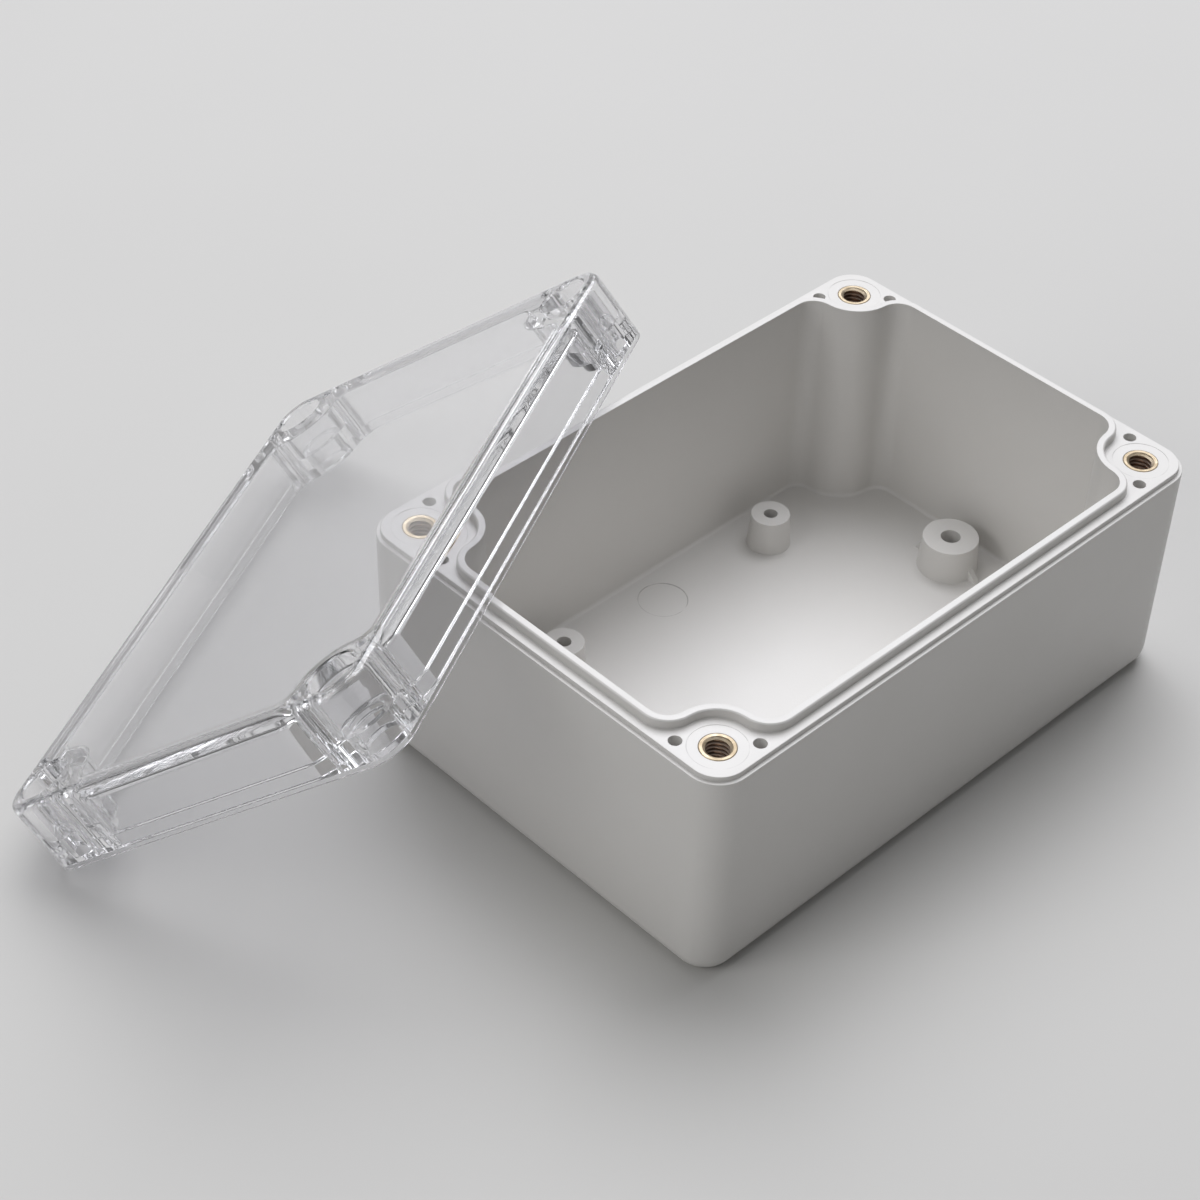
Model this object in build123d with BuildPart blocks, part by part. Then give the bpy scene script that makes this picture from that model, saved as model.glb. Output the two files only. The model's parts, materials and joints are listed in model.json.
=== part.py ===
from build123d import *
import math
import os

# Plastic project box with a clear lid, all sizes in millimetres.
# The box stands on Z = 0 with its underside centred on the origin, long side along X.
# The lid is off: one long edge stands on the table and its plate leans on the box's corner.

# Overall sizes, shared by box and lid
length = 100.0
width = 68.0
corner_radius = 5.0

# Box body and rim
box_draft = 0.3
ledge_height = 37.0
ledge_width = 0.6
step_height = 0.8
land_width = 1.4
lip_height = 1.45
lip_thickness = 1.15
lip_edge_chamfer = 0.2
floor_thickness = 2.7
core_draft = 0.4
bottom_radius = 3.0
floor_fillet = 0.6

# Corner bosses, common to box and lid
screw_inset = 5.85
boss_radius = 5.45
bend_radius = 4.4

# Threaded inserts, moulded into the box's corner bosses
thread_bore = 3.3
thread_mouth = 4.1
insert_length = 9.0
insert_collar_diameter = 5.1
insert_collar_height = 0.9
insert_body_diameter = 5.8
insert_waist_diameter = 5.0
insert_waist_height = 1.2
insert_clearance = 0.02
screw_well_depth = 4.0
witness_diameter = 8.2
witness_depth = 0.04

# Small blind holes on both sides of each screw, in box and lid
pin_hole_diameter = 1.9
pin_hole_depth = 6.0
pin_hole_edge_inset = 2.575
pin_hole_end_inset = 10.36

# Board posts on the floor
post_height = 5.8
post_hole_depth = 5.5
post_pitch_x = 45.0
post_pitch_y = 46.0
post_top_diameter = 6.2
post_foot_diameter = 7.0
post_hole_diameter = 2.2
end_post_pitch = 79.0
end_post_top_diameter = 8.9
end_post_foot_diameter = 9.6
end_post_hole_diameter = 3.1
gusset_reach = 6.4
gusset_height = 2.2
gusset_thickness = 1.0

# Round ejector marks on the floor
ejector_diameter = 7.8
ejector_pitch = 48.6
ejector_depth = 0.08

# Lid
lid_height = 12.0
lid_draft = 0.5
lid_core_draft = 0.5
plate_thickness = 2.8
lid_edge_radius = 1.2
lid_inner_radius = 0.8
skirt_gap = 0.1
skirt_clearance = 0.1
lip_clearance = 0.15
lip_headroom = 0.55
counterbore_diameter = 7.6
counterbore_chamfer = 0.3
counterbore_depth = 7.5
clearance_hole_diameter = 4.5

# How the lid leans on the box: its turn on the table, how far up its width it is touched, as a share
# of that width, how far its middle stands to one side of the corner, and the gap left there
lean_yaw = 27.4
lean_share = 0.7342
lean_offset = -4.85
lean_gap = 0.1

# Heights and insets that follow
land_height = ledge_height + step_height
lip_top = land_height + lip_height
lip_outer_inset = ledge_width + land_width
screw_pitch_x = length - 2 * screw_inset
screw_pitch_y = width - 2 * screw_inset
insert_seat = land_height - witness_depth
post_top = floor_thickness + post_height
cavity_depth = lid_height - plate_thickness
skirt_thickness = ledge_width - skirt_clearance
skirt_depth = step_height - skirt_gap
rebate_depth = skirt_depth + lip_height + lip_headroom

# Where the lid stands. Its foot is the middle of one long open edge, on the table.
# The plate's inner face touches the land edge of the box's corner, a vertical quarter cylinder.
along = Vector(-math.cos(math.radians(lean_yaw)), -math.sin(math.radians(lean_yaw)), 0)
towards_box = Vector(math.sin(math.radians(lean_yaw)), -math.cos(math.radians(lean_yaw)), 0)
corner_centre = Vector(corner_radius - length / 2, width / 2 - corner_radius, 0)
touch_drop = cavity_depth - lean_gap
touch_reach = math.hypot(lean_share * width, touch_drop)
touch_distance = math.sqrt(touch_reach**2 - land_height**2)
lid_foot = corner_centre + along * lean_offset - towards_box * (touch_distance + corner_radius - ledge_width)
touch_slope = math.degrees(math.asin(touch_distance / touch_reach))
lean_angle = math.degrees(math.acos(touch_drop / touch_reach)) - touch_slope
climb = towards_box * math.cos(math.radians(lean_angle)) + Vector(0, 0, math.sin(math.radians(lean_angle)))
lid_plane = Plane(origin=lid_foot + climb * (width / 2), x_dir=along, z_dir=along.cross(climb))


def swerving_face(plane, inward):
    """Face of the opening on a plane: straight sides that swerve round each corner boss.

    inward is how far its edge lies inside the outer face of the lip, where the bends have bend_radius.
    """
    inset = lip_outer_inset + inward
    with BuildSketch(plane) as opening:
        Rectangle(length - 2 * inset, width - 2 * inset)
        with GridLocations(length, width, 2, 2):
            Rectangle(2 * screw_inset, 2 * screw_inset, mode=Mode.SUBTRACT)
        with GridLocations(screw_pitch_x, screw_pitch_y, 2, 2):
            Circle(boss_radius + inward, mode=Mode.SUBTRACT)
        fillet(opening.vertices(), radius=bend_radius - inward)
    return opening.sketch


def insert_outline(growth):
    """Half section of an insert in the XZ plane, its sides moved out by growth and no thread hole in it."""
    collar = insert_collar_diameter / 2 + growth
    body = insert_body_diameter / 2 + growth
    waist = insert_waist_diameter / 2 + growth
    waist_top = -(insert_collar_height + insert_length - insert_waist_height) / 2 - growth
    waist_foot = waist_top - insert_waist_height + 2 * growth
    with BuildSketch(Plane.XZ) as outline:
        with BuildLine():
            Polyline(
                (0, 0),
                (collar, 0),
                (collar, -insert_collar_height),
                (body, -insert_collar_height),
                (body, waist_top),
                (waist, waist_top),
                (waist, waist_foot),
                (body, waist_foot),
                (body, -insert_length),
                (0, -insert_length),
                close=True,
            )
        make_face()
    return outline.sketch


# Threaded insert, with its flat top face on the origin
with BuildPart() as insert:
    revolve(insert_outline(0), axis=Axis.Z)
    Hole(thread_bore / 2)
    mouth_edge = insert.edges().filter_by(GeomType.CIRCLE).group_by(Axis.Z)[-1].sort_by(SortBy.RADIUS)[0]
    chamfer(mouth_edge, length=(thread_mouth - thread_bore) / 2)

# Room that an insert takes in its boss, with the screw's well below it and the flat round it above
with BuildPart() as insert_pocket:
    revolve(insert_outline(insert_clearance), axis=Axis.Z)
    Cylinder(
        thread_bore / 2,
        insert_length + screw_well_depth,
        align=(Align.CENTER, Align.CENTER, Align.MAX),
    )
    Cylinder(witness_diameter / 2, witness_depth, align=(Align.CENTER, Align.CENTER, Align.MIN))

# Box
with BuildPart() as box:
    # Outer shell, narrowing a little towards its foot
    with BuildSketch(Plane.XY.offset(ledge_height).rotated((180, 0, 0))):
        RectangleRounded(length, width, corner_radius)
    extrude(amount=ledge_height, taper=box_draft)
    fillet(box.edges().group_by(Axis.Z)[0], radius=bottom_radius)
    # Land inside the outer ledge
    with BuildSketch(Plane.XY.offset(ledge_height)):
        RectangleRounded(length - 2 * ledge_width, width - 2 * ledge_width, corner_radius - ledge_width)
    extrude(amount=step_height)
    # Raised lip that runs round inside the bosses
    extrude(swerving_face(Plane.XY.offset(land_height), 0), amount=lip_height)
    chamfer(box.edges().group_by(Axis.Z)[-1], length=lip_edge_chamfer)
    # Room inside, with the corner columns standing down to the floor
    extrude(
        swerving_face(Plane.XY.offset(lip_top).rotated((180, 0, 0)), lip_thickness),
        amount=lip_top - floor_thickness,
        taper=core_draft,
        mode=Mode.SUBTRACT,
    )
    floor_face = box.faces().filter_by(Plane.XY).sort_by(Axis.Z)[1]
    fillet(floor_face.edges(), radius=floor_fillet)
    # Pockets that the threaded inserts fill
    with Locations((0, 0, insert_seat)):
        with GridLocations(screw_pitch_x, screw_pitch_y, 2, 2) as insert_spots:
            add(insert_pocket.part, mode=Mode.SUBTRACT)
    # Small blind holes on both sides of each insert
    with Locations((0, 0, land_height)):
        with GridLocations(length - 2 * pin_hole_edge_inset, width - 2 * pin_hole_end_inset, 2, 2):
            Hole(pin_hole_diameter / 2, depth=pin_hole_depth)
        with GridLocations(length - 2 * pin_hole_end_inset, width - 2 * pin_hole_edge_inset, 2, 2):
            Hole(pin_hole_diameter / 2, depth=pin_hole_depth)
    # Round ejector marks, then the posts that carry a circuit board
    with Locations((0, 0, floor_thickness)):
        with GridLocations(0, ejector_pitch, 1, 2):
            Hole(ejector_diameter / 2, depth=ejector_depth)
        with GridLocations(post_pitch_x, post_pitch_y, 2, 2):
            Cone(
                post_foot_diameter / 2,
                post_top_diameter / 2,
                post_height,
                align=(Align.CENTER, Align.CENTER, Align.MIN),
            )
        with GridLocations(end_post_pitch, 0, 2, 1):
            Cone(
                end_post_foot_diameter / 2,
                end_post_top_diameter / 2,
                post_height,
                align=(Align.CENTER, Align.CENTER, Align.MIN),
            )
    # Thin gussets that brace the end posts along the width
    for side in (-1, 1):
        with BuildSketch(Plane.YZ.offset(side * end_post_pitch / 2)):
            with BuildLine():
                Polyline(
                    (-gusset_reach, floor_thickness),
                    (gusset_reach, floor_thickness),
                    (end_post_top_diameter / 2, floor_thickness + gusset_height),
                    (-end_post_top_diameter / 2, floor_thickness + gusset_height),
                    close=True,
                )
            make_face()
        extrude(amount=gusset_thickness / 2, both=True)
    # Screw holes in the posts
    with Locations((0, 0, post_top)):
        with GridLocations(post_pitch_x, post_pitch_y, 2, 2):
            Hole(post_hole_diameter / 2, depth=post_hole_depth)
        with GridLocations(end_post_pitch, 0, 2, 1):
            Hole(end_post_hole_diameter / 2, depth=post_hole_depth)

# Lid, built in its leaning plane with its open edge on the plane and its plate above
with BuildPart() as lid:
    lid_axis = Axis(lid_plane.origin, lid_plane.z_dir)
    with BuildSketch(lid_plane):
        RectangleRounded(length, width, corner_radius)
    extrude(amount=lid_height, taper=lid_draft)
    fillet(lid.faces().sort_by(lid_axis)[-1].edges(), radius=lid_edge_radius)
    # Skirt that drops over the land and stops just short of the ledge
    with BuildSketch(lid_plane):
        RectangleRounded(
            length - 2 * skirt_thickness,
            width - 2 * skirt_thickness,
            corner_radius - skirt_thickness,
        )
    extrude(amount=skirt_depth, mode=Mode.SUBTRACT)
    # Rebate for the box's lip
    extrude(swerving_face(lid_plane, -lip_clearance), amount=rebate_depth, mode=Mode.SUBTRACT)
    # Hollow above the box's room, down to the plate
    extrude(
        swerving_face(lid_plane, lip_thickness),
        amount=cavity_depth,
        taper=lid_core_draft,
        mode=Mode.SUBTRACT,
    )
    plate_inside = lid.faces().filter_by(lid_plane).sort_by(lid_axis)[-2]
    fillet(plate_inside.edges(), radius=lid_inner_radius)
    # Counterbored screw holes through the corner bosses
    with Locations(lid_plane.offset(lid_height)):
        with GridLocations(screw_pitch_x, screw_pitch_y, 2, 2):
            CounterBoreHole(clearance_hole_diameter / 2, counterbore_diameter / 2, counterbore_depth)
    counterbore_rims = lid.faces().sort_by(lid_axis)[-1].edges().filter_by(lambda edge: edge.is_closed)
    chamfer(counterbore_rims, length=counterbore_chamfer)
    # Small blind holes that face those of the box, drilled from the open side
    with Locations(lid_plane.offset(skirt_depth + pin_hole_depth)):
        with GridLocations(length - 2 * pin_hole_edge_inset, width - 2 * pin_hole_end_inset, 2, 2):
            Hole(pin_hole_diameter / 2, depth=skirt_depth + pin_hole_depth)
        with GridLocations(length - 2 * pin_hole_end_inset, width - 2 * pin_hole_edge_inset, 2, 2):
            Hole(pin_hole_diameter / 2, depth=skirt_depth + pin_hole_depth)

os.makedirs("parts", exist_ok=True)
box.part.label = "box"
export_step(box.part, "parts/box.step")
lid.part.label = "clear_lid"
export_step(lid.part, "parts/clear_lid.step")
corner_names = ("front_left", "rear_left", "front_right", "rear_right")
for corner_name, spot in zip(corner_names, insert_spots.locations):
    seated_insert = insert.part.moved(Location((spot.position.X, spot.position.Y, insert_seat)))
    seated_insert.label = "insert_" + corner_name
    export_step(seated_insert, "parts/insert_" + corner_name + ".step")
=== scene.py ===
"""A plastic project box with its clear lid off and leaning on one corner, dressed for the camera.

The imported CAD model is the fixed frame. The box and the lid are finished copies of their CAD meshes
with their moulded edges rounded off, and the threaded inserts are turned and tapped here.
"""

import json
import logging
import math
from collections import defaultdict
from dataclasses import dataclass, field
from enum import Enum
from typing import Any

import bpy
from mathutils import Matrix, Vector

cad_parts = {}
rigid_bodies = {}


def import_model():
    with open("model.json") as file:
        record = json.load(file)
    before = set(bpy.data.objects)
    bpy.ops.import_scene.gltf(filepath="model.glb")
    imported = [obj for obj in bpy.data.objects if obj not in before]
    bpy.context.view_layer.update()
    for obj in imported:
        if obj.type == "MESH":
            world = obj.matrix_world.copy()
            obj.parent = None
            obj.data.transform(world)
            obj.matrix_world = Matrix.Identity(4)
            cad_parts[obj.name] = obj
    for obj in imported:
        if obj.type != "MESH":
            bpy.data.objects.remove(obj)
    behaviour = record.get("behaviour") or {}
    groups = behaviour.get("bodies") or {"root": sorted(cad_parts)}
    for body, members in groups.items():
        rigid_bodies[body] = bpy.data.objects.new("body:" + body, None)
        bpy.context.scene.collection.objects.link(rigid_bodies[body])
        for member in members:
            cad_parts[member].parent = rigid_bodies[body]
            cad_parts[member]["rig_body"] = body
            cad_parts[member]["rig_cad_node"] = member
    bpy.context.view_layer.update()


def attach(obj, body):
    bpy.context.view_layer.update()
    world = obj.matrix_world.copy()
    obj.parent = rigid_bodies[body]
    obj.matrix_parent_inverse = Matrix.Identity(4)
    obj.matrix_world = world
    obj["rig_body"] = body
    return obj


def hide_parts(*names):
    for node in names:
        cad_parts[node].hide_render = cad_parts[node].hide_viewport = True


MM = 0.001

# A Mix node's sockets go by number: its factor, then its pair of values or of colours, and its outputs
FACTOR = 0
FIRST_VALUE, SECOND_VALUE, VALUE_OUT = 2, 3, 0
FIRST_COLOUR, SECOND_COLOUR, COLOUR_OUT = 6, 7, 2

log = logging.getLogger("project_box")


def linear(hex_colour: str) -> tuple[float, float, float, float]:
    """Turns an sRGB hex value into the linear colour that a socket takes.

    Args:
        hex_colour: Six hex digits with or without a leading hash.

    Returns:
        Linear red, green and blue, with an alpha of 1.
    """
    digits = hex_colour.lstrip("#")
    parts = [int(digits[i : i + 2], 16) / 255 for i in (0, 2, 4)]
    red, green, blue = (p / 12.92 if p <= 0.04045 else ((p + 0.055) / 1.055) ** 2.4 for p in parts)
    return (red, green, blue, 1.0)


def add_node(tree: bpy.types.NodeTree, kind: str, **settings: Any) -> bpy.types.Node:
    """Adds a node with its settings and links.

    Args:
        tree: The node tree that gets the node.
        kind: Blender's type name of the node.
        settings: A socket name, its spaces written as underscores, with the output socket that is
            linked to it or the value that it holds; "links" holds pairs of a socket number and the
            same; any other name is one of the node's own properties.

    Returns:
        The new node.
    """
    node = tree.nodes.new(kind)
    sockets = dict(settings.pop("links", ()))
    for name, value in settings.items():
        if hasattr(node, name):
            setattr(node, name, value)
        else:
            sockets[name.replace("_", " ")] = value
    for key, value in sockets.items():
        if isinstance(value, bpy.types.NodeSocket):
            tree.links.new(value, node.inputs[key])
        else:
            node.inputs[key].default_value = value
    return node


def measure_from_axis(
    tree: bpy.types.NodeTree, place: bpy.types.NodeSocket, axis: tuple[float, float]
) -> bpy.types.NodeSocket:
    """Measures how far each point lies from an upright axis, mirrored in every quarter of the box.

    Args:
        tree: The node tree that gets the nodes.
        place: The Object coordinates.
        axis: Where the axis stands in the quarter where X and Y are positive.

    Returns:
        The distance.
    """
    steps = (("ABSOLUTE", ()), ("SUBTRACT", ((1, (*axis, 0.0)),)), ("MULTIPLY", ((1, (1.0, 1.0, 0.0)),)))
    for operation, links in steps:
        node = add_node(tree, "ShaderNodeVectorMath", operation=operation, links=((0, place), *links))
        place = node.outputs["Vector"]
    return add_node(tree, "ShaderNodeVectorMath", operation="LENGTH", links=((0, place),)).outputs["Value"]


def select_only(piece: bpy.types.Object) -> None:
    """Makes one object the active one and the only one that is selected."""
    bpy.ops.object.select_all(action="DESELECT")
    piece.select_set(True)
    bpy.context.view_layer.objects.active = piece


class Body(Enum):
    """The CAD bodies that a piece can ride on."""

    ROOT = "root"


class Slot(Enum):
    """The record's material slots."""

    BOX_PLASTIC = "box_plastic"
    LID_PLASTIC = "lid_plastic"
    INSERT_BRASS = "insert_brass"


class Corner(Enum):
    """The corners of the box, each with its signs along X and Y."""

    FRONT_LEFT = (-1, -1)
    REAR_LEFT = (-1, 1)
    FRONT_RIGHT = (1, -1)
    REAR_RIGHT = (1, 1)


@dataclass(frozen=True)
class ShadedPinLine:
    """A fine circle at a pin's step, alike in every quarter of the box: part witness line, part painted
    shade.
    """

    axis: tuple[float, float]
    height: float
    radius: float
    strength: float


@dataclass(frozen=True)
class MouldedAbs:
    """Injection-moulded ABS: light warm grey, satin, with the faint grain of a spark-eroded mould.

    The real grain, about 0.05 mm, is too fine to show in the render, so it is drawn coarser.
    """

    name: str = "moulded_abs"
    body_hex: str = "#DAD8D5"
    cloudy_hex: str = "#D6D4D0"
    ior: float = 1.54
    roughness: float = 0.4
    roughness_swing: float = 0.08
    cloud_size: float = 14 * MM
    grain_size: float = 0.32 * MM
    grain_depth: float = 0.012 * MM
    # Colour of the pin circles: witness line and painted shade of the small steps at the pins
    pin_line_and_shade_hex: str = "#77746F"
    line_width: float = 0.16 * MM
    line_reach: float = 0.3 * MM
    line_break_size: float = 2.5 * MM
    line_break_range: tuple[float, float] = (0.35, 0.6)
    # Pin circles at the ejector pins and round the inserts, part witness line, part painted shade
    ejector_line_and_shade: ShadedPinLine = ShadedPinLine((0.0, 24.3 * MM), 2.66 * MM, 3.9 * MM, 0.45)
    insert_line_and_shade: ShadedPinLine = ShadedPinLine((44.15 * MM, 28.15 * MM), 37.78 * MM, 4.1 * MM, 0.22)

    def draw_shaded_pin_line(
        self, tree: bpy.types.NodeTree, place: bpy.types.NodeSocket, mark: ShadedPinLine
    ) -> bpy.types.NodeSocket:
        """Draws one pin circle: part witness line, part painted shade of its step.

        Args:
            tree: The material's node tree.
            place: The Object coordinates.
            mark: The mark.

        Returns:
            The mark's strength on its line, and 0 elsewhere.
        """
        height = add_node(tree, "ShaderNodeSeparateXYZ", Vector=place).outputs["Z"]
        apart = measure_from_axis(tree, place, mark.axis)
        drawn: bpy.types.NodeSocket | float = mark.strength
        tests = ((height, mark.height, self.line_reach), (apart, mark.radius, self.line_width / 2))
        for measure, wanted, reach in tests:
            near = add_node(
                tree, "ShaderNodeMath", operation="COMPARE", links=((0, measure), (1, wanted), (2, reach))
            )
            drawn = add_node(
                tree, "ShaderNodeMath", operation="MULTIPLY", links=((0, drawn), (1, near.outputs[0]))
            ).outputs[0]
        return drawn

    def draw_shaded_pin_lines(self, tree: bpy.types.NodeTree, place: bpy.types.NodeSocket) -> bpy.types.NodeSocket:
        """Draws the pin circles, part witness line and part painted shade, stronger on some stretches than
        on others.

        Args:
            tree: The material's node tree.
            place: The Object coordinates.

        Returns:
            How dark the circles are at each point.
        """
        scale = 1 / self.line_break_size
        uneven = add_node(tree, "ShaderNodeTexNoise", Vector=place, Scale=scale, Detail=1.0, Roughness=0.5)
        faintest, darkest = self.line_break_range
        darkness = add_node(
            tree, "ShaderNodeMapRange", Value=uneven.outputs["Fac"], From_Min=faintest, From_Max=darkest
        )
        marks = [self.draw_shaded_pin_line(tree, place, mark) for mark in (self.ejector_line_and_shade, self.insert_line_and_shade)]
        both = add_node(tree, "ShaderNodeMath", operation="ADD", links=enumerate(marks))
        broken = add_node(
            tree,
            "ShaderNodeMath",
            operation="MULTIPLY",
            links=((0, both.outputs[0]), (1, darkness.outputs["Result"])),
        )
        return broken.outputs[0]

    def build(self) -> bpy.types.Material:
        """Makes the material.

        Returns:
            The finished material.
        """
        material = bpy.data.materials.new(self.name)
        material.use_nodes = True
        tree = material.node_tree
        shader = tree.nodes["Principled BSDF"]
        place = add_node(tree, "ShaderNodeTexCoord").outputs["Object"]
        cloud = add_node(
            tree, "ShaderNodeTexNoise", Vector=place, Scale=1 / self.cloud_size, Detail=3.0, Roughness=0.55
        )
        clouded = add_node(
            tree,
            "ShaderNodeMix",
            data_type="RGBA",
            links=(
                (FACTOR, cloud.outputs["Fac"]),
                (FIRST_COLOUR, linear(self.body_hex)),
                (SECOND_COLOUR, linear(self.cloudy_hex)),
            ),
        )
        # The pin circles darken the colour: witness lines with painted shade of the pin steps
        colour = add_node(
            tree,
            "ShaderNodeMix",
            data_type="RGBA",
            links=(
                (FACTOR, self.draw_shaded_pin_lines(tree, place)),
                (FIRST_COLOUR, clouded.outputs[COLOUR_OUT]),
                (SECOND_COLOUR, linear(self.pin_line_and_shade_hex)),
            ),
        )
        grain = add_node(
            tree, "ShaderNodeTexNoise", Vector=place, Scale=1 / self.grain_size, Detail=2.0, Roughness=0.6
        )
        sheen = add_node(
            tree,
            "ShaderNodeMapRange",
            Value=cloud.outputs["Fac"],
            To_Min=self.roughness - self.roughness_swing,
            To_Max=self.roughness + self.roughness_swing,
        )
        bump = add_node(
            tree, "ShaderNodeBump", Height=grain.outputs["Fac"], Distance=self.grain_depth, Strength=1.0
        )
        shader.inputs["IOR"].default_value = self.ior
        tree.links.new(colour.outputs[COLOUR_OUT], shader.inputs["Base Color"])
        tree.links.new(sheen.outputs["Result"], shader.inputs["Roughness"])
        tree.links.new(bump.outputs["Normal"], shader.inputs["Normal"])
        return material


@dataclass(frozen=True)
class ClearPolycarbonate:
    """Polished clear polycarbonate: glass-like, with hairline scratches that dull it here and there.

    Real hairlines, about 0.02 mm, are too fine to show in the render, so they are drawn wider.
    """

    name: str = "clear_polycarbonate"
    tint_hex: str = "#FBFBFC"
    ior: float = 1.586
    roughness: float = 0.015
    scuffed_roughness: float = 0.09
    scratch_spacing: float = 5 * MM
    scratch_turn: tuple[float, float, float] = (0.3, 0.2, 0.9)
    scratch_squeeze: tuple[float, float, float] = (1.0, 6.0, 6.0)
    scratch_level: float = 0.5
    scratch_width: float = 0.006
    ripple_size: float = 18 * MM
    ripple_depth: float = 0.02 * MM
    shadow_flat_hex: str = "#F8F8F9"
    shadow_edge_hex: str = "#A2A2A4"
    shadow_edge_blend: float = 0.35

    def build(self) -> bpy.types.Material:
        """Makes the material.

        Returns:
            The finished material.
        """
        material = bpy.data.materials.new(self.name)
        material.use_nodes = True
        tree = material.node_tree
        shader = tree.nodes["Principled BSDF"]
        output = tree.nodes["Material Output"]
        place = add_node(tree, "ShaderNodeTexCoord").outputs["Object"]
        # Hairline scratches: thin level lines of a stretched noise
        stretched = add_node(
            tree, "ShaderNodeMapping", Vector=place, Rotation=self.scratch_turn, Scale=self.scratch_squeeze
        )
        lines = add_node(
            tree,
            "ShaderNodeTexNoise",
            Vector=stretched.outputs["Vector"],
            Scale=1 / self.scratch_spacing,
            Detail=4.0,
            Roughness=0.65,
        )
        level = add_node(
            tree,
            "ShaderNodeMath",
            operation="COMPARE",
            links=((0, lines.outputs["Fac"]), (1, self.scratch_level), (2, self.scratch_width)),
        )
        dull = add_node(
            tree,
            "ShaderNodeMapRange",
            Value=level.outputs[0],
            To_Min=self.roughness,
            To_Max=self.scuffed_roughness,
        )
        ripple = add_node(
            tree, "ShaderNodeTexNoise", Vector=place, Scale=1 / self.ripple_size, Detail=1.0, Roughness=0.4
        )
        bump = add_node(
            tree, "ShaderNodeBump", Height=ripple.outputs["Fac"], Distance=self.ripple_depth, Strength=1.0
        )
        shader.inputs["Base Color"].default_value = linear(self.tint_hex)
        shader.inputs["IOR"].default_value = self.ior
        shader.inputs["Transmission Weight"].default_value = 1.0
        tree.links.new(dull.outputs["Result"], shader.inputs["Roughness"])
        tree.links.new(bump.outputs["Normal"], shader.inputs["Normal"])
        # The light that falls on matt surfaces passes straight through: a little is lost where it
        # crosses a wall squarely, and more where it grazes one
        rim = add_node(tree, "ShaderNodeLayerWeight", Blend=self.shadow_edge_blend)
        shade = add_node(
            tree,
            "ShaderNodeMix",
            data_type="RGBA",
            links=(
                (FACTOR, rim.outputs["Facing"]),
                (FIRST_COLOUR, linear(self.shadow_flat_hex)),
                (SECOND_COLOUR, linear(self.shadow_edge_hex)),
            ),
        )
        passed = add_node(tree, "ShaderNodeBsdfTransparent", Color=shade.outputs[COLOUR_OUT])
        path = add_node(tree, "ShaderNodeLightPath")
        surface = shader.outputs["BSDF"]
        for ray in ("Is Shadow Ray", "Is Diffuse Ray"):
            mixed = add_node(
                tree,
                "ShaderNodeMixShader",
                links=((0, path.outputs[ray]), (1, surface), (2, passed.outputs["BSDF"])),
            )
            surface = mixed.outputs["Shader"]
        tree.links.new(surface, output.inputs["Surface"])
        return material


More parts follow.
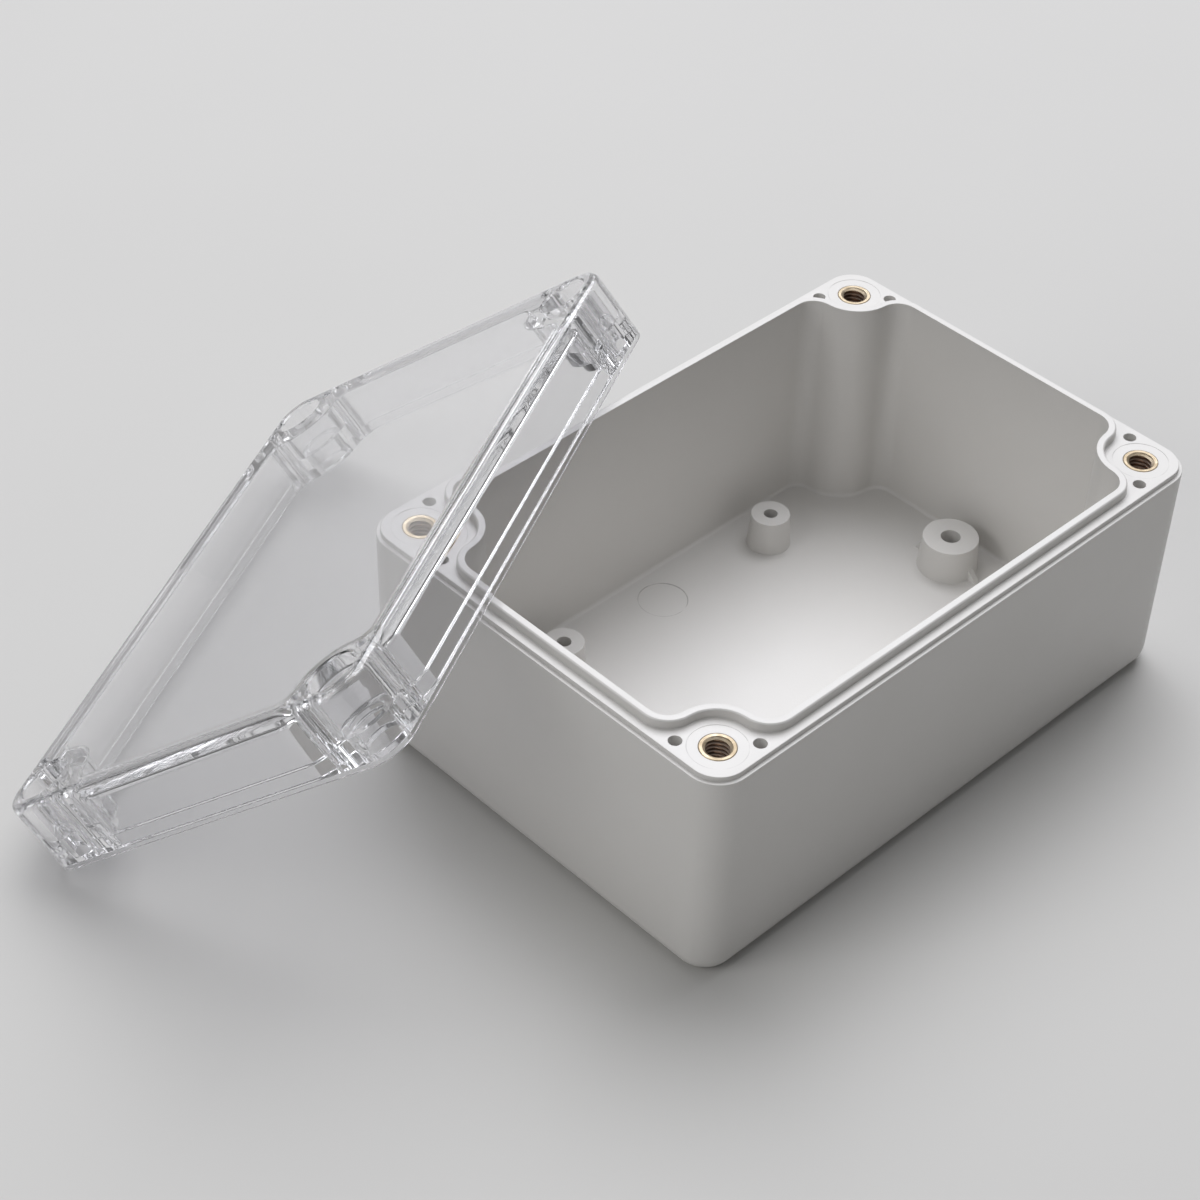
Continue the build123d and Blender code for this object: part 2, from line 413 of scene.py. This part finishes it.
@dataclass(frozen=True)
class TurnedBrass:
    """Free-cutting brass, turned on a lathe: a bright cream faced end; its tapped hole is painted browner
    with shade.

    The rings that a fine feed leaves, about 0.05 mm apart, are drawn coarser, or they wouldn't show.
    """

    name: str = "turned_brass"
    bright_hex: str = "#BFB29C"
    stained_hex: str = "#AD9E86"
    # Colour a little way down the tapped hole: painted shade
    hole_shade_hex: str = "#C0AC9C"
    roughness: float = 0.5
    roughness_swing: float = 0.08
    bore_roughness: float = 0.28
    stain_size: float = 1.6 * MM
    stain_range: tuple[float, float] = (0.35, 0.65)
    # Heights between which the painted shade of the hole fades in
    hole_shade_top: float = 37.5 * MM
    hole_shade_bottom: float = 37.0 * MM
    axis: tuple[float, float] = (44.15 * MM, 28.15 * MM)
    ring_spacing: float = 0.16 * MM
    ring_depth: float = 0.015 * MM

    def build(self) -> bpy.types.Material:
        """Makes the material.

        Returns:
            The finished material.
        """
        material = bpy.data.materials.new(self.name)
        material.use_nodes = True
        tree = material.node_tree
        shader = tree.nodes["Principled BSDF"]
        place = add_node(tree, "ShaderNodeTexCoord").outputs["Object"]
        patches = add_node(
            tree, "ShaderNodeTexNoise", Vector=place, Scale=1 / self.stain_size, Detail=4.0, Roughness=0.6
        )
        clean, stained = self.stain_range
        spread = add_node(
            tree, "ShaderNodeMapRange", Value=patches.outputs["Fac"], From_Min=clean, From_Max=stained
        )
        bright = add_node(
            tree,
            "ShaderNodeMix",
            data_type="RGBA",
            links=(
                (FACTOR, spread.outputs["Result"]),
                (FIRST_COLOUR, linear(self.bright_hex)),
                (SECOND_COLOUR, linear(self.stained_hex)),
            ),
        )
        # Painted shade: the colour turns darker and browner a little way below the hole's mouth
        height = add_node(tree, "ShaderNodeSeparateXYZ", Vector=place).outputs["Z"]
        sunk = add_node(
            tree,
            "ShaderNodeMapRange",
            Value=height,
            From_Min=self.hole_shade_top,
            From_Max=self.hole_shade_bottom,
        )
        colour = add_node(
            tree,
            "ShaderNodeMix",
            data_type="RGBA",
            links=(
                (FACTOR, sunk.outputs["Result"]),
                (FIRST_COLOUR, bright.outputs[COLOUR_OUT]),
                (SECOND_COLOUR, linear(self.hole_shade_hex)),
            ),
        )
        faced = add_node(
            tree,
            "ShaderNodeMapRange",
            Value=spread.outputs["Result"],
            To_Min=self.roughness - self.roughness_swing,
            To_Max=self.roughness + self.roughness_swing,
        )
        # The tap leaves its flanks smoother than the tool leaves the faced end
        dull = add_node(
            tree,
            "ShaderNodeMix",
            links=(
                (FACTOR, sunk.outputs["Result"]),
                (FIRST_VALUE, faced.outputs["Result"]),
                (SECOND_VALUE, self.bore_roughness),
            ),
        )
        rings = add_node(
            tree,
            "ShaderNodeTexNoise",
            noise_dimensions="1D",
            W=measure_from_axis(tree, place, self.axis),
            Scale=1 / self.ring_spacing,
            Detail=1.0,
        )
        bump = add_node(
            tree, "ShaderNodeBump", Height=rings.outputs["Fac"], Distance=self.ring_depth, Strength=1.0
        )
        shader.inputs["Metallic"].default_value = 1.0
        tree.links.new(colour.outputs[COLOUR_OUT], shader.inputs["Base Color"])
        tree.links.new(dull.outputs[VALUE_OUT], shader.inputs["Roughness"])
        tree.links.new(bump.outputs["Normal"], shader.inputs["Normal"])
        return material


@dataclass(frozen=True)
class PaperFloor:
    """Seamless pale backdrop paper, matt and very slightly uneven."""

    name: str = "backdrop_paper"
    paper_hex: str = "#CBCAC7"
    shaded_hex: str = "#C7C6C3"
    roughness: float = 0.8
    specular: float = 0.2
    blotch_size: float = 90 * MM

    def build(self) -> bpy.types.Material:
        """Makes the material.

        Returns:
            The finished material.
        """
        material = bpy.data.materials.new(self.name)
        material.use_nodes = True
        tree = material.node_tree
        shader = tree.nodes["Principled BSDF"]
        place = add_node(tree, "ShaderNodeTexCoord").outputs["Object"]
        blotch = add_node(tree, "ShaderNodeTexNoise", Vector=place, Scale=1 / self.blotch_size, Detail=2.0)
        colour = add_node(
            tree,
            "ShaderNodeMix",
            data_type="RGBA",
            links=(
                (FACTOR, blotch.outputs["Fac"]),
                (FIRST_COLOUR, linear(self.paper_hex)),
                (SECOND_COLOUR, linear(self.shaded_hex)),
            ),
        )
        shader.inputs["Roughness"].default_value = self.roughness
        shader.inputs["Specular IOR Level"].default_value = self.specular
        tree.links.new(colour.outputs[COLOUR_OUT], shader.inputs["Base Color"])
        return material


@dataclass
class Moulding:
    """A moulded piece: its CAD mesh, copied and made whole, with its sharp edges rounded."""

    node: str
    name: str
    slot: Slot
    finish: MouldedAbs | ClearPolycarbonate
    edge_radius: float = 0.12 * MM
    edge_segments: int = 3
    edge_share: float = 0.4
    sharp_angle: float = math.radians(35)
    weld: float = 0.0005 * MM
    flat_angle: float = math.radians(0.3)
    flat_face_weight: int = 100

    def build(self) -> bpy.types.Object:
        """Builds and dresses the piece.

        Returns:
            The finished piece, riding on the root body.
        """
        piece = self.copy_node()
        self.make_whole(piece)
        self.round_edges(piece)
        piece.data.materials.clear()
        piece.data.materials.append(self.finish.build())
        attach(piece, Body.ROOT.value)
        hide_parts(self.node)
        return piece

    def copy_node(self) -> bpy.types.Object:
        """Copies the CAD node as a free piece with a mesh of its own.

        Returns:
            The copy.
        """
        select_only(bpy.data.objects[self.node])
        bpy.ops.object.duplicate(linked=False)
        piece = bpy.context.view_layer.objects.active
        bpy.ops.object.parent_clear(type="CLEAR_KEEP_TRANSFORM")
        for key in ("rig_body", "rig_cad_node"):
            del piece[key]
        piece.name = piece.data.name = self.name
        return piece

    def make_whole(self, piece: bpy.types.Object) -> None:
        """Welds the loose triangles into one skin and clears the lines from its flat faces.

        Args:
            piece: The copy of the CAD node.
        """
        select_only(piece)
        bpy.ops.mesh.customdata_custom_splitnormals_clear()
        bpy.ops.object.mode_set(mode="EDIT")
        bpy.ops.mesh.select_all(action="SELECT")
        bpy.ops.mesh.remove_doubles(threshold=self.weld)
        bpy.ops.mesh.dissolve_limited(angle_limit=self.flat_angle)
        bpy.ops.object.mode_set(mode="OBJECT")

    def weigh_edges(self, mesh: bpy.types.Mesh) -> None:
        """Gives every sharp edge its share of the edge radius, less of it beside a narrow face.

        Args:
            mesh: The mesh of the welded piece.
        """
        beside: dict[tuple[int, int], list[tuple[Vector, float]]] = {key: [] for key in mesh.edge_keys}
        for face in mesh.polygons:
            corners = [mesh.vertices[index].co for index in face.vertices]
            outline = sum((b - a).length for a, b in zip(corners, corners[1:] + corners[:1]))
            for key in face.edge_keys:
                beside[key].append((face.normal, 2 * face.area / outline))
        weights = [0.0] * len(mesh.edges)
        least_turn = math.cos(self.sharp_angle)
        for edge in mesh.edges:
            (normal, width), (next_normal, next_width) = beside[edge.key]
            if normal.dot(next_normal) < least_turn:
                weights[edge.index] = min(1.0, self.edge_share * min(width, next_width) / self.edge_radius)
        self.even_out(mesh, weights)
        mesh.attributes.new("bevel_weight_edge", "FLOAT", "EDGE").data.foreach_set("value", weights)

    def even_out(self, mesh: bpy.types.Mesh, weights: list[float]) -> None:
        """Lowers the weight of an edge that runs on, nearly in line, from an edge with a lower one.

        The rounded corner between two such edges would otherwise shoot far out along them.

        Args:
            mesh: The mesh of the welded piece.
            weights: The weight of each edge, lowered in place.
        """
        meeting: dict[int, list[bpy.types.MeshEdge]] = defaultdict(list)
        for edge in mesh.edges:
            if weights[edge.index] > 0.0:
                for corner in edge.vertices:
                    meeting[corner].append(edge)
        steps = []
        for edges in meeting.values():
            if len(edges) == 2:
                ends = [[mesh.vertices[corner].co for corner in edge.vertices] for edge in edges]
                runs = [end - start for start, end in ends]
                shorter, longer = sorted(run.length for run in runs)
                turn = runs[0].cross(runs[1]).length / (shorter * longer)
                step = self.edge_share * shorter * turn / self.edge_radius
                steps.append((edges[0].index, edges[1].index, step))
        lowered = True
        while lowered:
            lowered = False
            for first, second, step in steps:
                most = min(weights[first], weights[second]) + step
                if max(weights[first], weights[second]) > most:
                    weights[first], weights[second] = min(weights[first], most), min(weights[second], most)
                    lowered = True

    def round_edges(self, piece: bpy.types.Object) -> None:
        """Rounds every sharp edge and smooths what is curved.

        Args:
            piece: The welded piece.
        """
        self.weigh_edges(piece.data)
        select_only(piece)
        bevel = piece.modifiers.new("edge_radius", "BEVEL")
        bevel.width = self.edge_radius
        bevel.segments = self.edge_segments
        bevel.limit_method = "WEIGHT"
        bevel.use_clamp_overlap = False
        bpy.ops.object.modifier_apply(modifier=bevel.name)
        bpy.ops.object.shade_smooth_by_angle(angle=self.sharp_angle)
        flatness = piece.modifiers.new("flatness", "WEIGHTED_NORMAL")
        flatness.keep_sharp = True
        flatness.weight = self.flat_face_weight
        bpy.ops.object.modifier_apply(modifier=flatness.name)


@dataclass
class ThreadedInsert:
    """A turned brass insert with a tapped M4 hole, its flat top face a hair below its boss."""

    corner: Corner
    finish: bpy.types.Material
    screw_pitch: tuple[float, float] = (88.3 * MM, 56.3 * MM)
    seat: float = 37.76 * MM
    length: float = 9.0 * MM
    collar_radius: float = 2.55 * MM
    collar_height: float = 0.9 * MM
    body_radius: float = 2.9 * MM
    waist_radius: float = 2.5 * MM
    waist_height: float = 1.2 * MM
    bore_radius: float = 1.65 * MM
    mouth_radius: float = 2.05 * MM
    mouth_slope: float = 1.7
    thread_radius: float = 2.0 * MM
    thread_pitch: float = 0.7 * MM
    flank_angle: float = math.radians(30)
    root_share: float = 1 / 8
    spare_turns: int = 2
    around: int = 64
    smooth_angle: float = math.radians(25)
    rim_break: float = 0.1 * MM
    weld: float = 0.001 * MM

    @property
    def name(self) -> str:
        """The name of the CAD node that the insert stands for."""
        return "insert_" + self.corner.name.lower()

    def build(self) -> bpy.types.Object:
        """Builds and dresses the insert.

        Returns:
            The finished insert, riding on the root body.
        """
        piece = self.turn_outside()
        self.join(piece, self.wind_thread())
        self.seat_at_corner(piece)
        piece.data.materials.append(self.finish)
        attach(piece, Body.ROOT.value)
        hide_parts(self.name)
        return piece

    def draw(self, name: str, points: list[tuple[float, float]]) -> bpy.types.Object:
        """Draws an open line in the XZ plane by extruding one vertex from point to point.

        Args:
            name: The name of the new object.
            points: Distances from the Z axis and heights.

        Returns:
            The object that holds the line.
        """
        bpy.ops.object.select_all(action="DESELECT")
        (x, z), *_ = points
        bpy.ops.mesh.primitive_plane_add(size=self.rim_break, location=(x, 0.0, z))
        piece = bpy.context.view_layer.objects.active
        piece.name = piece.data.name = name
        bpy.ops.object.transform_apply(location=True, rotation=False, scale=False)
        bpy.ops.object.mode_set(mode="EDIT")
        bpy.ops.mesh.select_all(action="SELECT")
        bpy.ops.mesh.merge(type="CENTER")
        for (x0, z0), (x1, z1) in zip(points, points[1:]):
            bpy.ops.mesh.extrude_region_move(TRANSFORM_OT_translate={"value": (x1 - x0, 0.0, z1 - z0)})
        bpy.ops.object.mode_set(mode="OBJECT")
        return piece

    def turn_outside(self) -> bpy.types.Object:
        """Turns all but the hole, as on a lathe, from the rim of its mouth round to its lower end.

        Returns:
            The turned skin.
        """
        half_waist = self.waist_height / 2
        waist_middle = -(self.collar_height + self.length) / 2
        outline = [
            (self.mouth_radius, 0.0),
            (self.collar_radius - self.rim_break, 0.0),
            (self.collar_radius, -self.rim_break),
            (self.collar_radius, -self.collar_height),
            (self.body_radius, -self.collar_height),
            (self.body_radius, waist_middle + half_waist),
            (self.waist_radius, waist_middle + half_waist),
            (self.waist_radius, waist_middle - half_waist),
            (self.body_radius, waist_middle - half_waist),
            (self.body_radius, -self.length),
            (self.bore_radius, -self.length),
        ]
        piece = self.draw("threaded_" + self.name, outline)
        bpy.ops.object.mode_set(mode="EDIT")
        bpy.ops.mesh.select_all(action="SELECT")
        bpy.ops.mesh.spin(steps=self.around, angle=math.tau, center=(0, 0, 0), axis=(0, 0, 1))
        bpy.ops.object.mode_set(mode="OBJECT")
        return piece

    def wind_thread(self) -> bpy.types.Object:
        """Winds one pitch of right-handed 60 degree thread form up the hole.

        Its spare turns past both ends are laid on the mouth's bevel and on the lower rim.

        Returns:
            The skin of the threaded hole.
        """
        depth = self.thread_radius - self.bore_radius
        flank = depth * math.tan(self.flank_angle)
        root = self.thread_pitch * self.root_share
        crest = self.thread_pitch - 2 * flank - root
        bottom = -self.length - self.spare_turns * self.thread_pitch
        form = [
            (self.bore_radius, 0.0),
            (self.bore_radius, crest / 2),
            (self.bore_radius, crest),
            (self.bore_radius + depth / 2, crest + flank / 2),
            (self.thread_radius, crest + flank),
            (self.thread_radius, crest + flank + root),
            (self.bore_radius + depth / 2, self.thread_pitch - flank / 2),
            (self.bore_radius, self.thread_pitch),
        ]
        piece = self.draw("thread_of_" + self.name, [(radius, bottom + height) for radius, height in form])
        winding = piece.modifiers.new("winding", "SCREW")
        winding.axis = "Z"
        winding.angle = math.tau
        winding.screw_offset = self.thread_pitch
        winding.iterations = math.ceil(self.length / self.thread_pitch) + 2 * self.spare_turns
        winding.steps = winding.render_steps = self.around
        bpy.ops.object.modifier_apply(modifier=winding.name)
        for vertex in piece.data.vertices:
            radius = math.hypot(vertex.co.x, vertex.co.y)
            height = min(0.0, max(-self.length, vertex.co.z))
            mouth = self.mouth_radius + self.mouth_slope * height
            trimmed = max(radius, mouth) if height > -self.length else self.bore_radius
            if height == 0.0:
                trimmed = mouth
            vertex.co = (vertex.co.x * trimmed / radius, vertex.co.y * trimmed / radius, height)
        return piece

    def join(self, piece: bpy.types.Object, thread: bpy.types.Object) -> None:
        """Joins the threaded hole to the turned outside as one closed skin.

        Args:
            piece: The turned outside.
            thread: The skin of the hole.
        """
        select_only(piece)
        thread.select_set(True)
        bpy.ops.object.join()
        bpy.ops.object.mode_set(mode="EDIT")
        bpy.ops.mesh.select_all(action="SELECT")
        bpy.ops.mesh.remove_doubles(threshold=self.weld)
        bpy.ops.mesh.normals_make_consistent(inside=False)
        bpy.ops.object.mode_set(mode="OBJECT")
        bpy.ops.object.shade_smooth_by_angle(angle=self.smooth_angle)

    def seat_at_corner(self, piece: bpy.types.Object) -> None:
        """Moves the insert to its boss and leaves that place in its mesh.

        Args:
            piece: The insert, standing on the origin.
        """
        across, along = self.corner.value
        piece.location = (across * self.screw_pitch[0] / 2, along * self.screw_pitch[1] / 2, self.seat)
        select_only(piece)
        bpy.ops.object.transform_apply(location=True, rotation=True, scale=True)


@dataclass
class PhotoCamera:
    """The camera, fitted to the photograph's own view of the box."""

    place: tuple[float, float, float] = (-232.48 * MM, -193.61 * MM, 282.16 * MM)
    azimuth: float = math.radians(-45.092)
    elevation: float = math.radians(41.319)
    roll: float = math.radians(1.930)
    focal_pixels: float = 2717.14
    photo_pixels: float = 1200.0
    sensor_width: float = 36.0
    near_clip: float = 10 * MM

    def build(self) -> bpy.types.Object:
        """Adds the camera and makes it the scene's.

        Returns:
            The camera.
        """
        back = Vector(
            (
                math.sin(self.azimuth) * math.cos(self.elevation),
                -math.cos(self.azimuth) * math.cos(self.elevation),
                math.sin(self.elevation),
            )
        )
        level = Vector((math.cos(self.azimuth), math.sin(self.azimuth), 0.0))
        turn = Matrix.Rotation(self.roll, 3, back)
        right, up = turn @ level, turn @ back.cross(level)
        bpy.ops.object.camera_add(location=self.place)
        camera = bpy.context.view_layer.objects.active
        camera.name = "photo_camera"
        aim = Matrix((right, up, back)).transposed().to_4x4()
        camera.matrix_world = Matrix.Translation(self.place) @ aim
        camera.data.sensor_width = self.sensor_width
        camera.data.lens = self.focal_pixels / self.photo_pixels * self.sensor_width
        camera.data.clip_start = self.near_clip
        bpy.context.scene.camera = camera
        return camera


@dataclass
class SoftLamp:
    """A large softbox that faces the box."""

    name: str
    place: tuple[float, float, float]
    size: tuple[float, float]
    watts: float
    colour_hex: str = "#FFFFFF"
    aim: tuple[float, float, float] = (-0.02, 0.01, 0.02)

    def build(self) -> bpy.types.Object:
        """Adds the lamp.

        Returns:
            The lamp.
        """
        bpy.ops.object.light_add(type="AREA", location=self.place)
        lamp = bpy.context.view_layer.objects.active
        lamp.name = self.name
        lamp.data.shape = "RECTANGLE"
        lamp.data.size, lamp.data.size_y = self.size
        lamp.data.energy = self.watts
        lamp.data.color = linear(self.colour_hex)[:3]
        lamp.rotation_euler = (Vector(self.aim) - Vector(self.place)).to_track_quat("-Z", "Y").to_euler()
        return lamp


@dataclass
class Studio:
    """The pale floor, the soft lamps and the pale room round them."""

    floor_size: float = 6.0
    zenith_hex: str = "#FBFCFF"
    horizon_hex: str = "#5F5E5D"
    room_strength: float = 0.34
    light_turns: int = 24
    lamps: list[SoftLamp] = field(
        default_factory=lambda: [
            SoftLamp("rear_softbox", (0.50, 0.42, 1.12), (1.1, 1.1), 18.5, "#F9FAFF"),
            SoftLamp("left_softbox", (-0.80, 0.20, 0.50), (0.5, 0.5), 2.2),
        ]
    )

    def build(self) -> None:
        """Builds the floor, the lamps and the world, and sets the view to plain.

        Light is followed far enough to find its way out of the thick clear walls.
        """
        self.lay_floor()
        for lamp in self.lamps:
            lamp.build()
        self.paint_room()
        scene = bpy.context.scene
        scene.view_settings.view_transform = "Standard"
        scene.cycles.max_bounces = scene.cycles.transmission_bounces = self.light_turns
        scene.cycles.glossy_bounces = self.light_turns

    def lay_floor(self) -> bpy.types.Object:
        """Lays the floor.

        Returns:
            The floor.
        """
        bpy.ops.object.select_all(action="DESELECT")
        bpy.ops.mesh.primitive_plane_add(size=self.floor_size)
        floor = bpy.context.view_layer.objects.active
        floor.name = "backdrop_floor"
        floor.data.materials.append(PaperFloor().build())
        return floor

    def paint_room(self) -> None:
        """Gives the world a soft gradient, bright overhead and greyer at the horizon."""
        world = bpy.data.worlds.new("pale_room")
        world.use_nodes = True
        bpy.context.scene.world = world
        tree = world.node_tree
        direction = add_node(tree, "ShaderNodeTexCoord").outputs["Generated"]
        height = add_node(tree, "ShaderNodeSeparateXYZ", Vector=direction).outputs["Z"]
        colour = add_node(
            tree,
            "ShaderNodeMix",
            data_type="RGBA",
            links=(
                (FACTOR, height),
                (FIRST_COLOUR, linear(self.horizon_hex)),
                (SECOND_COLOUR, linear(self.zenith_hex)),
            ),
        )
        background = tree.nodes["Background"]
        background.inputs["Strength"].default_value = self.room_strength
        tree.links.new(colour.outputs[COLOUR_OUT], background.inputs["Color"])


def main() -> None:
    """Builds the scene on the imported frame."""
    logging.basicConfig(level=logging.INFO, format="%(message)s")
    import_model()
    mouldings = (
        Moulding("box", "box_body", Slot.BOX_PLASTIC, MouldedAbs()),
        Moulding("clear_lid", "lid_shell", Slot.LID_PLASTIC, ClearPolycarbonate(), edge_radius=0.15 * MM),
    )
    brass = TurnedBrass().build()
    parts = (*mouldings, *(ThreadedInsert(corner, brass) for corner in Corner))
    for part in parts:
        piece = part.build()
        log.info("%s: %d faces", piece.name, len(piece.data.polygons))
    PhotoCamera().build()
    Studio().build()


if __name__ == "__main__":
    main()
